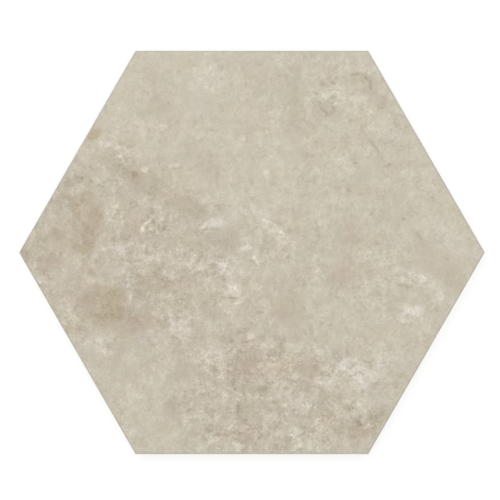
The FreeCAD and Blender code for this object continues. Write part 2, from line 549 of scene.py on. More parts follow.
# %% Broad stains and patches
OVALS = {
    "ochre": [
        (-104, 18, 22, 13, 88, 15), (-107, 34, 9, 5, 0, 8), (-96, 25, 7, 5, 60, 9),
        (-101, 12, 10, 6, 90, 7), (-103, 3, 8, 5, 0, 10), (-120, 13, 8, 6, 0, 13),
        (-99, 73, 8, 4.5, 60, 22), (-93, -33, 20, 13, -10, 18), (-86, -36, 9, 8, 0, 6),
        (-84, -26, 8, 5, 20, 12), (-103, -25, 9, 8, 0, 6), (-97, -41, 11, 5, 0, 5),
        (-110, -42, 7, 6, 0, 5), (-64, -17, 10, 7, 0, 9), (66, -112, 11, 6, 10, 8), (57, -96, 9, 4, 0, 8),
        (-12, -113, 12, 5, 0, 11), (-78, -77, 7, 5, 0, 5), (-23, -96, 8, 3, 0, 8),
        (5, -86, 8, 3.5, 15, 10), (-33, 24, 9, 7, -30, 4), (-1, -64, 9, 6, 0, 6), (-76, -43, 12, 9, 0, 5),
    ],
    "rose": [
        (-92, 2, 82, 76, 0, 4), (-22, -45, 62, 55, 0, 4), (20, -98, 85, 40, 0, 4), (-75, -45, 13, 9, 0, 9),
        (92, 34, 6, 5, 0, 6), (-1, -66, 15, 10, 90, 13), (3, -71, 8, 8, 0, 4), (-73, 15, 9, 9, 0, 8),
        (-62, 108, 11, 7, 90, 5), (-53, 90, 14, 8, -60, 5), (-30, 56, 16, 9, -20, 4),
        (-38, 64, 9, 6, 0, 5), (-48, 44, 16, 7, -40, 4), (-107, 55, 8, 8, 0, 4), (-5, 72, 7, 6, 0, 4),
        (57, 0, 20, 9, 80, 7), (69, 6, 5, 5, 0, 5), (67, -8, 5, 5, 0, 5), (56, -17, 13, 9, 0, 9),
        (40, 3, 7, 5, 0, 5), (62, 14, 10, 8, 90, 6), (28, -15, 11, 7, 0, 4), (22, -31, 13, 12, 0, 5),
        (23, -42, 12, 7, 0, 4), (117, -8, 14, 11, 0, 6), (127, -18, 12, 9, -60, 6),
        (29, 77, 10, 11, 90, 7), (17, 95, 16, 7, 90, 5), (36, 84, 16, 6, 0, 4), (48, 112, 10, 5, 90, 4),
        (28, 24, 7, 6, 90, 4), (79, 99, 14, 7, -70, 5), (106, 2, 8, 7, 0, 6), (38, -71, 8, 7, 0, 8),
        (-125, -6, 11, 6, 10, 13), (-119, -25, 8, 4, 0, 4), (-88, -69, 7, 6, 0, 7),
        (-62, -15, 10, 5, 0, 4), (-1, -114, 11, 8, 0, 7), (-105, -48, 10, 6, 0, 4),
        (44, -104, 14, 7, 0, 4), (-36, -91, 8, 6, 0, 4), (-62, -70, 9, 6, 0, 4), (-100, -12, 8, 6, 0, 4),
        (-25, 50, 9, 7, 0, 4), (-60, 92, 6, 8, 0, 4),
    ],
    "grey": [
        (15, 105, 18, 16, 0, 2.5), (-15, 75, 16, 14, 0, 2), (-12, -45, 14, 14, 0, 2.5),
        (-60, 15, 30, 14, 0, 1.5), (-121, 42, 9, 8, 0, 4), (-113, 44, 9, 4, 10, 5), (-121, 30, 5, 6, 0, 5),
        (23, -34, 12, 12, 0, 6), (-60, 93, 5, 6, 0, 4), (-33, 24, 8, 6, -40, 4), (-76, -42, 12, 9, 0, 3),
        (-92, 2, 82, 76, 0, 3.5), (-22, 108, 64, 22, 0, 2), (-86, 57, 15, 7, -42, 15),
        (-67, 43, 15, 9, -25, 14), (-76, 38, 12, 7, 0, 7), (-53, 34, 15, 7, -20, 10),
        (-36, 27, 12, 6, -40, 11), (-22, 11, 17, 7, 0, 8), (-14, 7, 8, 7, 0, 6), (-106, 44, 10, 5, 10, 9),
        (-118, 33, 7, 7, 0, 9), (-113, 42, 6, 6, 0, 5), (-126, 6, 12, 8, 0, 5), (-139, 0, 9, 9, 0, 12),
        (-60, 10, 9, 7, 0, 6), (-88, 12, 9, 8, 0, 3), (-70, -24, 6, 8, 0, 8), (-65, -34, 6, 8, 0, 8),
        (-44, -16, 7, 7, 0, 6), (-27, -33, 7, 8, 0, 7), (-45, -74, 9, 8, 0, 7), (30, -38, 5, 4, 0, 6),
        (-31, -56, 6, 8, 0, 9), (-89, -47, 7, 4, 0, 6), (-49, -96, 9, 8, 0, 11), (-32, -105, 7, 9, 0, 6),
        (-10, -52, 10, 7, 0, 9), (-11, -82, 5, 14, 0, 7), (-6, -99, 6, 11, 0, 9), (-14, 95, 5, 6, 0, 3),
        (45, 89, 11, 8, -20, 9), (46, 105, 8, 4, 0, 9), (67, 109, 9, 3.5, -15, 10), (73, 102, 5, 8, 0, 9),
        (80, 92, 9, 6, 0, 4), (66, 41, 10, 8, 30, 6), (84, 61, 9, 11, -20, 4), (28, 112, 5, 9, 0, 5),
        (37, 60, 8, 9, 0, 3), (8, 2, 7, 5, 0, 7), (-1, 14, 6, 5, 0, 4), (32, 12, 9, 9, 0, 5),
        (104, 10, 8, 4, -50, 6), (27, -73, 9, 5, 0, 8), (9, -6, 8, 4, 0, 6), (10, -53, 12, 6, 0, 5),
        (37, -72, 9, 8, 0, 4), (22, -84, 9, 5, 0, 6), (43, -87, 8, 5, 0, 5), (79, -102, 7, 8, 0, 9),
        (68, -105, 8, 6, 0, 8), (57, -108, 7, 8, 0, 6), (8, -110, 8, 8, 0, 5), (85, 24, 14, 10, 0, 4),
        (75, -52, 9, 8, 0, 3), (55, -62, 10, 5, 0, 4), (46, 68, 8, 5, 0, 3), (-50, 6, 9, 8, 0, 4),
        (-25, 52, 8, 5, 0, 5), (20, -120, 12, 5, 0, 5),
    ],
    "olive": [
        (-75, 52, 12, 8, -20, 6), (-60, -44, 9, 7, 0, 9), (-57, -22, 15, 6, 0, 6), (-34, 3, 9, 6, 0, 8),
        (-82, -56, 8, 7, 0, 8), (-92, -45, 6, 6, 0, 6), (-104, 28, 8, 7, 0, 5), (-102, 3, 8, 5, 0, 5),
        (28, 91, 5.5, 12, 0, 11), (98, -7, 6, 4, 0, 8), (28, 102, 7, 6, 0, 4), (56, 63, 8, 4, 15, 6),
        (67, 104, 8, 6, 0, 5), (84, 92, 7, 7, 0, 5), (0, 112, 9, 10, 0, 3), (19, -64, 10, 8, 0, 9),
        (-2, -99, 9, 9, 0, 8), (18, -95, 11, 5, 0, 5), (66, -108, 8, 6, 0, 5), (-62, 86, 9, 6, 0, 7),
        (-45, 32, 9, 5, 0, 4), (27, -53, 7, 5, 0, 6), (43, -54, 6, 5, 0, 7), (106, -57, 4, 6, 0, 4),
        (95, -25, 12, 5, 0, 3), (-115, 4, 10, 7, 0, 3), (-98, 72, 8, 4, 60, 7),
    ],
    "milky": [
        (-27, 110, 11, 11, 0, 10), (-34, 101, 8, 7, 0, 6), (-23, 103, 7, 7, 0, 5), (-12, -14, 8, 18, 0, 6),
        (-11, -26, 9, 7, 0, 8), (-12, -38, 8, 8, 0, 8), (-19, -8, 7, 4, 0, 6), (-44, -46, 8, 9, 0, 13),
        (-52, -52, 18, 7, 0, 5), (-55, -68, 7, 12, 0, 8), (-24, -62, 11, 10, 0, 9), (-24, -46, 8, 6, 0, 5),
        (-24, -76, 8, 4, 0, 6), (-94, -56, 13, 8, 0, 7), (-82, 4, 12, 4, 5, 8), (-64, -8, 4, 4, 0, 7),
        (-84, 23, 5, 4, 0, 8), (2, -78, 5, 5, 0, 7), (-38, 112, 6, 8, 0, 6), (-50, -116, 6, 8, 0, 5),
        (-70, -92, 14, 8, -50, 4), (-80, -108, 16, 6, -60, 4), (7, 27, 9, 7, 0, 6), (17, 33, 8, 8, 0, 4),
        (10, 18, 13, 6, 0, 3), (57, 53, 8, 8, 0, 8), (100, 30, 8, 6, 0, 4), (87, 73, 9, 5, -10, 5),
        (108, 44, 12, 8, -40, 5), (58, 33, 8, 4, 0, 4), (122, 10, 24, 13, -30, 7), (100, -14, 9, 6, 0, 6),
        (90, -17, 7, 4, 0, 6), (107, -18, 9, 7, 0, 8), (117, -27, 9, 8, 0, 7), (102, -36, 9, 6, 0, 8),
        (103, -46, 12, 8, 0, 5), (88, -62, 10, 13, 0, 5), (8, -9, 9, 5, 0, 6), (38, -60, 10, 7, 0, 6),
        (28, -60, 10, 5, 0, 5), (46, -77, 10, 7, 0, 14), (60, -72, 13, 9, 0, 12), (68, -79, 13, 8, -20, 9),
        (78, -73, 8, 12, 0, 7), (85, -86, 8, 7, 0, 5), (19, -87, 10, 6, 0, 7), (28, -95, 9, 9, 0, 5),
        (37, -115, 9, 5, 0, 7), (27, -115, 7, 9, 0, 6), (-22, 18, 9, 6, 0, 3), (-2, 3, 7, 5, 0, 7),
    ],
    "cream": [
        (-71, 77, 8, 9, 0, 6), (-31, 76, 8, 6, 0, 4), (-7, 70, 6, 6, 0, 5), (-90, 47, 11, 8, 0, 5),
        (-86, 23, 9, 9, 0, 7), (-76, -1, 10, 4, 0, 6), (-39, -3, 9, 5, 0, 5), (-105, 63, 7, 7, 0, 5),
        (-41, 40, 10, 10, 0, 3), (-112, -37, 6, 11, 0, 5), (-57, -17, 10, 4, 0, 7), (-56, -36, 5, 6, 0, 6),
        (93, -17, 8, 5, 0, 6), (-103, 22, 4, 5, 0, 4), (-45, -4, 10, 9, 0, 5), (-62, -6, 8, 6, 0, 4),
        (-17, -34, 6, 7, 0, 4), (-65, -80, 8, 9, 0, 4), (-72, -90, 14, 8, 0, 3), (-16, -88, 6, 8, 0, 6),
        (-35, -96, 7, 5, 0, 5), (-34, -118, 7, 5, 0, 5), (13, 52, 13, 8, 0, 5), (54, 98, 9, 11, 0, 6),
        (66, 92, 9, 7, 0, 6), (46, 108, 5, 6, 0, 5), (42, 24, 6, 13, 0, 4), (17, 65, 7, 7, 0, 4),
        (57, 73, 7, 6, 0, 4), (40, -17, 7, 9, 0, 5), (84, -8, 8, 8, 0, 6), (70, -38, 14, 18, 0, 3),
        (66, -94, 9, 7, 0, 6), (14, -68, 9, 7, 0, 4), (40, -107, 7, 4, 0, 6), (94, -42, 6, 4, 0, 6),
        (8, -67, 8, 5, 0, 4), (-5, -16, 8, 14, 0, 4), (82, 82, 14, 10, 0, 3), (-8, 30, 10, 10, 0, 3),
    ],
}

# %% [markdown]
# The small marks are round spots, each with its middle, radius and strength. Most of them crowd in the
# rough ground, a fragment or the hole beside it, and a few lie alone in the even ground.

# %% Spots
SPOTS = {
    "ochre": [
        (-107, 35, 4, 10), (-112, 33, 3, 8), (-100, 36, 3.5, 8), (-95, 24, 3.5, 11), (-97, 21, 3, 9),
        (-105, 24, 3.5, 8), (-101, 15, 4.5, 9), (-101, 9, 4, 9), (-103, 3, 4, 7), (-110, 28, 4, 8),
        (-121, 13, 3.5, 7), (-101, 74, 4, 12), (-83, -25, 3.5, 12), (-88, -27, 3, 10), (-79, -24, 2.5, 8),
        (-86, -36, 4, 7), (-92, -35, 3.5, 7), (-84, -39, 3, 8), (-98, -39, 3, 8), (-91, -40, 3, 8),
        (-69, -17, 4, 8), (-12, -112, 4, 6), (-2, -113, 4, 6), (63, -113, 3.5, 8), (69, -112, 3.5, 8),
        (57, -96, 3.5, 6), (10, -85, 3, 8), (3, -87, 3, 9), (-22, -96, 3, 6), (2, -77, 3, 6),
        (-101, 29, 2.5, 8), (-104, 19, 2.5, 7), (-98, -31, 3, 8), (-106, -31, 3, 6), (-74, 49, 3, 8),
    ],
    "rose": [
        (-131, -3, 3.5, 15), (-126, -5, 3, 13), (-100, -12, 3, 7), (-73, -51, 4, 4), (-70, -42, 4, 4),
        (-3, -61, 3.5, 8), (4, -63, 3, 7), (41, -72, 3, 10), (36, -71, 3, 6), (33, -80, 3, 10),
        (38, -80, 2.5, 8), (46, -105, 2.5, 8), (51, -105, 2.5, 7), (-36, -91, 3, 7), (136, -6, 3.5, 8),
        (128, -20, 4, 5), (-30, 78, 3, 3), (-60, 95, 3, 6), (50, -14, 3, 5), (60, 17, 3.5, 5),
        (28, 23, 3, 6), (17, -33, 3, 4), (24, -38, 4, 4), (-73, 14, 4, 5), (80, 96, 3, 4), (106, 3, 3, 5),
        (0, -114, 4, 5), (43, -87, 3, 7),
    ],
    "grey": [
        (-62, 28, 3, 12), (-118, -15, 3, 7), (38, 94, 3, 12), (70, 90, 3.5, 12), (-87, -18, 3, 8),
        (-22, -74, 3.5, 18), (-5, -56, 3.5, 9), (-21, -57, 4, 12), (71, -73, 3, 9), (18, -66, 4, 9),
        (-20, -113, 5, 9), (53, -96, 3, 8), (16, 7, 3, 12), (9, 71, 3, 7), (55, 65, 3, 8), (-64, 87, 3, 8),
        (-72, 48, 3, 15), (-82, 54, 3, 8), (-67, 43, 3, 7), (-60, 45, 3, 5), (-107, 45, 3, 10),
        (-100, 43, 3, 10), (-118, 32, 3.5, 8), (-128, 8, 3, 9), (-60, 10, 3, 10), (-55, 15, 2.5, 8),
        (-53, 21, 2.5, 8), (-36, 31, 3, 8), (-31, 25, 3, 8), (-15, 7, 3.5, 8), (-28, 10, 3, 6),
        (-20, 12, 3, 6), (-11, 18.5, 3.5, 9), (-92, 6, 3, 6), (-75, -11, 3, 10), (-90, -13, 2.5, 7),
        (-71, -25, 3, 8), (-65, -33, 3, 8), (-44, -15, 3, 7), (-28, -32, 3, 7), (-24, -40, 2.5, 9),
        (-49, -24, 2.5, 6), (-12, -29, 2.5, 8), (-5, -35, 2.5, 5), (4, -37, 2.5, 8), (-13, -55, 3, 11),
        (-8, -49, 3, 8), (-5, -53, 2.5, 8), (5, -53, 2.5, 7), (-9, -62, 3, 9), (-9, -70, 2.5, 8),
        (-7, -76, 3, 8), (-11, -85, 3, 8), (-7, -96, 2.5, 12), (-5, -103, 3, 9), (-48, -95, 3.5, 7),
        (-32, -104, 3, 7), (-40, -77, 2.5, 8), (-46, -72, 3, 6), (29, 114, 2.5, 9), (27, 102, 2.5, 7),
        (20, 108, 3, 5), (44, 104, 3, 11), (50, 105, 2.5, 9), (43, 90, 3, 8), (49, 88, 3, 9),
        (51, 82, 2.5, 6), (37, 93, 2.5, 6), (64, 110, 3, 10), (70, 109, 2.5, 8), (73, 101, 3, 9),
        (80, 91, 3.5, 8), (61, 82, 2.5, 7), (68, 88, 3, 6), (34, 61, 3, 6), (64, 55, 2.2, 9),
    ],
    "dark": [
        (85, 54, 2.5, 8), (74, 68, 2.5, 7), (77, 64, 2.5, 7), (80, 60, 2.5, 6), (60, 40, 3, 7),
        (67, 36, 2.5, 7), (66, 45, 2.5, 5), (46, 36, 3, 5), (31, 35, 2.2, 6), (112, 34, 2.2, 8),
        (74, 24, 2.2, 7), (85, 21, 2.5, 7), (82, 26, 2.5, 5), (94, 21, 2.5, 10), (77, 6, 2.5, 10),
        (7, 1, 3.5, 11), (28, 14, 3, 6), (41, 9, 2.5, 6), (22, 24, 2.5, 6), (103, 11, 2.5, 7),
        (92, -19, 3, 7), (84, -16, 2.5, 6), (97, -21, 2.5, 6), (68, -32, 2.2, 6), (71, -36, 2.2, 5),
        (15, -47, 2.5, 7), (27, -53, 3, 7), (18, -64, 3.5, 7), (24, -66, 3, 5), (47, -69, 2.5, 9),
        (28, -72, 3, 11), (58, -62, 2.5, 8), (61, -65, 2.2, 6), (73, -70, 2.5, 10), (68, -74, 2.5, 8),
        (61, -76, 2.2, 9), (65, -68, 2, 6), (21, -85, 3, 7), (15, -84, 2.5, 6), (5, -95, 3, 6),
        (80, -100, 3, 11), (74, -98, 2.5, 6), (66, -106, 3, 12), (75, -109, 3, 9), (79, -106, 2.5, 7),
        (57, -107, 3, 7), (8, -110, 3, 6), (20, -108, 3, 6), (33, -107, 2.5, 5), (-24, 52, 3, 5),
        (-32, 45, 2.5, 6), (-42, 104, 2.5, 6), (-68, 107, 2.5, 5), (-8, 46, 3, 4), (-138, -1, 3, 7),
    ],
    "milky": [
        (-91, 67, 3.5, 10), (-25, 113, 4.5, 7), (-33, 108, 4, 4), (-20, 18, 3.5, 6), (-24, 18, 3.5, 6),
        (-18.5, 18, 2.5, 5), (-3, 3, 3.5, 10), (-85, 3, 3, 7), (-77, 4, 3.5, 8), (-12, -24, 3.5, 5),
        (-9, -27, 2.5, 6), (-19, -8, 3, 7), (-12, -37, 3, 5), (-44, -44, 4, 7), (-26, -63, 4, 5),
        (-92, -55, 3.5, 5), (-76, -17, 2.5, 8), (-76, -22, 2.5, 8), (-1, -52, 3, 11), (-10, -118, 3, 9),
        (102, -36, 4, 6), (98, -36, 3, 5), (107, -37, 3, 5), (106, -17, 4, 6), (117, -27, 4, 4),
        (57, 54, 4, 4), (62, -73, 3, 8), (66, -78, 3, 7), (68, -82, 4, 9), (55, -70, 3.5, 6),
        (75, -76, 4, 7), (80, -68, 4, 5), (70, -66, 3, 6), (15, 14, 3, 6), (8, 18, 3, 6), (20, 12, 2.5, 6),
        (17, -88, 3, 5), (28, -60, 3, 5), (37, -115, 3, 5), (26, -113, 3, 6), (-35, -67, 3, 5),
        (-24, -76, 3, 5),
    ],
    "cream": [
        (-66, 51.5, 2.5, 12), (-80, 62, 3, 6), (-68, 14, 2, 10), (-66, 17, 1.8, 10), (-63, 19.5, 1.8, 10),
        (-32, 15, 1.8, 9), (-57, 12, 1.8, 8), (-50, -16, 3, 7), (-6, 70, 3, 7), (-70, 77, 3.5, 5),
        (9, 50, 2.8, 5), (45, 108, 2.8, 6), (54, 101, 3.5, 4), (68, 93, 3.5, 5), (94, -42, 3, 9),
        (84, -7, 3, 4), (40, -17, 3, 4), (20, -95, 2.5, 9), (66, -94, 3.5, 3), (40, -107, 3, 6),
        (30, -119, 3, 9), (-16, -88, 3, 6), (-34, -118, 3, 5), (-18, -34, 3, 7), (-47, 54, 2, 3),
        (10, -57, 2.5, 6), (70, -104, 3, 7), (24, -15, 2.5, 5), (-103, 68, 3, 5), (-112, -37, 3, 5),
        (-65, -80, 3, 5),
    ],
}

# %% [markdown]
# The ground is more crushed in some regions than in others. Ovals like those of the stains say where, each
# with a share as its strength, which is below 0 where a calm patch lies in crushed ground.

# %% Crushed ground
ROUGH_GROUND = [
    (-92, 0, 82, 78, 0, 0.7), (-42, 2, 50, 30, -20, 0.3), (-25, -40, 50, 45, 0, 0.45),
    (14, -95, 74, 52, 0, 1.15), (12, 8, 26, 20, 0, 0.5), (60, -8, 52, 28, 0, 0.25),
    (35, 95, 34, 24, 0, 0.35), (76, 100, 20, 14, -60, 0.4), (-88, 62, 20, 11, -35, 0.55),
    (-107, 31, 16, 11, 0, 0.45), (77, -107, 15, 12, 0, 0.6), (50, -82, 15, 9, 0, -0.6),
    (-33, 95, 20, 26, 0, -0.35), (125, 6, 18, 24, 0, -0.35), (16, 55, 16, 16, 0, -0.35),
]

# %% [markdown]
# Clean ovals would look airbrushed. So every vertex is given a second place, pushed about by noise, and the
# strokes are laid on by that place, which frays their edges. The broad strokes are pushed far, the small
# ones less, or they would be lost. A k-d tree finds the vertices that lie under a stroke.

# %% Brushes
NOISE_SEED = 11  # without one, the noise would start at another place on every run
noise.seed_set(NOISE_SEED)

OCTAVE_FADE = 0.7  # how far each finer octave reaches, as a share of the one before

# Where a stroke begins and where it is full, in shares of the oval's radius
SOFT_BRUSH = (1.0, 0.5)
PAINT_BRUSH = (1.15, 0.45)


def pushed_places(piece, size, octaves, reach, shift):
    """A tree of the vertices by their place in millimetres, pushed about by noise of this size and reach."""
    tree = kdtree.KDTree(len(piece.data.vertices))
    for vertex in piece.data.vertices:
        place = Vector((vertex.co.x, vertex.co.y, 0)) / MM
        swirled = (place + shift) / size
        place += reach * noise.turbulence_vector(swirled, octaves, False, amplitude_scale=OCTAVE_FADE)
        place.z = 0
        tree.insert(place, vertex.index)
    tree.balance()
    return tree


def under_strokes(tree, strokes, brush):
    """The vertices under each stroke, with the strength that reaches them."""
    begin, full = brush
    for x, y, half_length, half_width, turn, strength in strokes:
        cosine = math.cos(math.radians(turn))
        sine = math.sin(math.radians(turn))
        for place, index, distance in tree.find_range((x, y, 0), max(half_length, half_width) * begin):
            along = ((place.x - x) * cosine + (place.y - y) * sine) / half_length
            across = ((place.y - y) * cosine - (place.x - x) * sine) / half_width
            share = (begin - math.hypot(along, across)) / (begin - full)
            share = min(max(share, 0), 1)
            yield index, strength * share * share * (3 - 2 * share)


def round_strokes(marks):
    """Spots, each with its middle, radius and strength, as strokes."""
    return [(x, y, radius, radius, 0, strength) for x, y, radius, strength in marks]


# %% [markdown]
# Every stroke now adds its colour to the vertices under it. A brush can't follow the rim as evenly as a rule
# can: the outermost row of vertices gets a grey of painted shade, the darker line of the tilted arris in
# light from above.

# %% Paint the face
FAR_PUSH = {"size": 9, "octaves": 4, "reach": 2.8, "shift": Vector((0, 0, 0))}
NEAR_PUSH = {"size": 4, "octaves": 3, "reach": 1.1, "shift": Vector((40, 70, 0))}
OVAL_OPACITY = 0.75
SPOT_OPACITY = 0.45
# painted shade: the grey line along the rim of the face, standing in for the darker tilted arris
RIM_SHADE_COLOUR = (-1.0, -0.8, -0.4)
RIM_SHADE_STRENGTH = 13
ROUGHEST = 1.15

far_pushed = pushed_places(tile, **FAR_PUSH)
near_pushed = pushed_places(tile, **NEAR_PUSH)

paint = [Vector((0, 0, 0)) for vertex in tile.data.vertices]
for kind, colour in COLOURS.items():
    for tree, strokes, opacity in (
        (far_pushed, OVALS.get(kind, []), OVAL_OPACITY),
        (near_pushed, round_strokes(SPOTS.get(kind, [])), SPOT_OPACITY),
    ):
        for index, strength in under_strokes(tree, strokes, PAINT_BRUSH):
            paint[index] += opacity * strength * Vector(colour)
# Painted shade along the rim: the outermost row of vertices is darkened
for vertex in tile.data.vertices:
    if outward(vertex.co) > face_flats / 2 - RIM_TOLERANCE:
        paint[vertex.index] += RIM_SHADE_STRENGTH * Vector(RIM_SHADE_COLOUR)
roughness = [0.0] * len(paint)
for index, strength in under_strokes(far_pushed, ROUGH_GROUND, SOFT_BRUSH):
    roughness[index] = min(roughness[index] + strength, ROUGHEST)

stains_layer = tile.data.attributes.new("stains", "FLOAT_VECTOR", "POINT")
stains_layer.data.foreach_set("vector", [value for colour in paint for value in colour])
rough_layer = tile.data.attributes.new("rough", "FLOAT", "POINT")
rough_layer.data.foreach_set("value", roughness)
print("strokes", sum(len(strokes) for table in (OVALS, SPOTS) for strokes in table.values()),
      "on", len(paint), "vertices")

# %% [markdown]
# ## Grain of the print
# The shader starts at the colour of the ground, adds the paint, and on top of that what is finer than the
# paint: clouds, crushed fragments from Voronoi cells, fine cracks, rings of tiny fossils and grain. All of
# it is stronger in the crushed ground. Each noise is read with a shift of its own, so that no two of them
# have their clouds at the same places. Sizes are in millimetres and strengths in levels.

# %% Places
face = Finish("printed_glaze", {"IOR": 1.5})
flat_place = face.node("ShaderNodeTexCoord", {}, {}, "Object") * (1 / MM, 1 / MM, 0)
stains = face.node("ShaderNodeAttribute", {"attribute_name": "stains"}, {}, "Vector")
rough_ground = face.node("ShaderNodeAttribute", {"attribute_name": "rough"}, {}, "Fac")


def pushed_about(place, shift, size, octaves, reach):
    """The place that noise of this size and reach pushes a place to."""
    return place + face.noise(place + shift, size, octaves, 0.7, "Color") * (reach, reach, 0)


# %% Clouds, fine grain and short lines
CLOUD_SIZE = 9
GRAIN_SIZE = 1.4
LIVELY_SIZE = 18  # of the regions in which all of the grain is a little weaker or stronger
WEAKER = 0.75
STRONGER = 1.25
DARK_LINE_SIZE = 4
LIGHT_LINE_SIZE = 4.6
LINE_WIDTH = 0.12  # how far from zero the noise may be on a line

clouds = face.noise(flat_place + (70, 240, 0), CLOUD_SIZE, 4)
grain = face.noise(flat_place + (510, 20, 0), GRAIN_SIZE, 2)
lively = face.spread(face.noise(flat_place + (33, 610, 0), LIVELY_SIZE, 3), -0.5, 0.5, WEAKER, STRONGER)


def short_lines(place, size):
    """Short curved lines: they lie where one noise passes zero, and only where another one is high."""
    crossing = face.node("ShaderNodeMath", {"operation": "ABSOLUTE"}, {0: face.noise(place, size, 2)})
    shown = face.spread(face.noise(place + (31, 17, 0), size * 1.4, 2), 0.1, 0.2)
    return face.spread(crossing, 0.01, LINE_WIDTH, 1, 0) * shown


curled = pushed_about(flat_place, (150, 60, 0), 6, 2, 5)
dark_lines = short_lines(curled + (15, 320, 0), DARK_LINE_SIZE)
light_lines = short_lines(curled + (215, 20, 0), LIGHT_LINE_SIZE)

# %% Crushed fragments and rings
FRAGMENT_SIZE = 4.6
FLAKE_SIZE = 2.6
SHELL_SIZE = 9  # of the field round each fossil
RING_PITCH = 1.9


def crushed(place, size, out):
    """Cells of this size: as Color a value of each cell's own, as Distance how far its middle is."""
    flat = {"voronoi_dimensions": "2D"}
    return face.node("ShaderNodeTexVoronoi", flat, {"Vector": place, "Scale": 1 / size}, out)


crumbled = pushed_about(flat_place, (40, 70, 0), 3.5, 3, 1.5)
large_cells = crushed(crumbled, FRAGMENT_SIZE, "Color")
small_cells = crushed(crumbled + (90, 30, 0), FLAKE_SIZE, "Color")
ring_step = crushed(crumbled + (45, 15, 0), SHELL_SIZE, "Distance") * (2 * math.pi * SHELL_SIZE / RING_PITCH)
rings = face.node("ShaderNodeMath", {"operation": "SINE"}, {0: ring_step})

# %% All of the grain together
CLOUD_STRENGTH = 7.5
FRAGMENT_STRENGTH = 5
FLAKE_STRENGTH = 4.5
LIGHT_LINE_STRENGTH = 9
DARK_LINE_STRENGTH = 14
GRAIN_STRENGTH = 3.4
RING_STRENGTH = 1.5
CALM_SHARE = 0.66  # how strong all of it is where nothing is crushed
CRUSHED_SHARE = 0.75  # what full crushing adds to that

pale_flakes = face.spread(small_cells, 0.6, 0.68, 0, FLAKE_STRENGTH)
dark_flakes = face.spread(small_cells, 0.38, 0.3, 0, FLAKE_STRENGTH)
fragments = (large_cells - 0.5) * FRAGMENT_STRENGTH + (pale_flakes - dark_flakes)
lines = light_lines * LIGHT_LINE_STRENGTH - dark_lines * DARK_LINE_STRENGTH
grains = clouds * CLOUD_STRENGTH + fragments + lines + grain * GRAIN_STRENGTH + rings * RING_STRENGTH
mottling = grains * (CALM_SHARE + rough_ground * CRUSHED_SHARE) * lively

# %% Specks that lie alone
SPECK_SPACING = 8
SPECK_STRENGTH = 10

speck_place = crumbled + (7, 11, 0)
speck_luck = face.spread(crushed(speck_place, SPECK_SPACING, "Color"), 0.55, 0.75, 0, SPECK_STRENGTH)
specks = face.spread(crushed(speck_place, SPECK_SPACING, "Distance"), 0.16, 0.08) * speck_luck

# %% [markdown]
# Some marks are finer than the vertices: crisp fragments, a fossil shell, pores and hairlines. They are
# ovals again, but worked out in the shader, where they stay sharp. A renderer has room for some forty such
# ovals at a time, so they come in groups. Each group pushes the next one aside by a hair, and so has to be
# worked out before it.

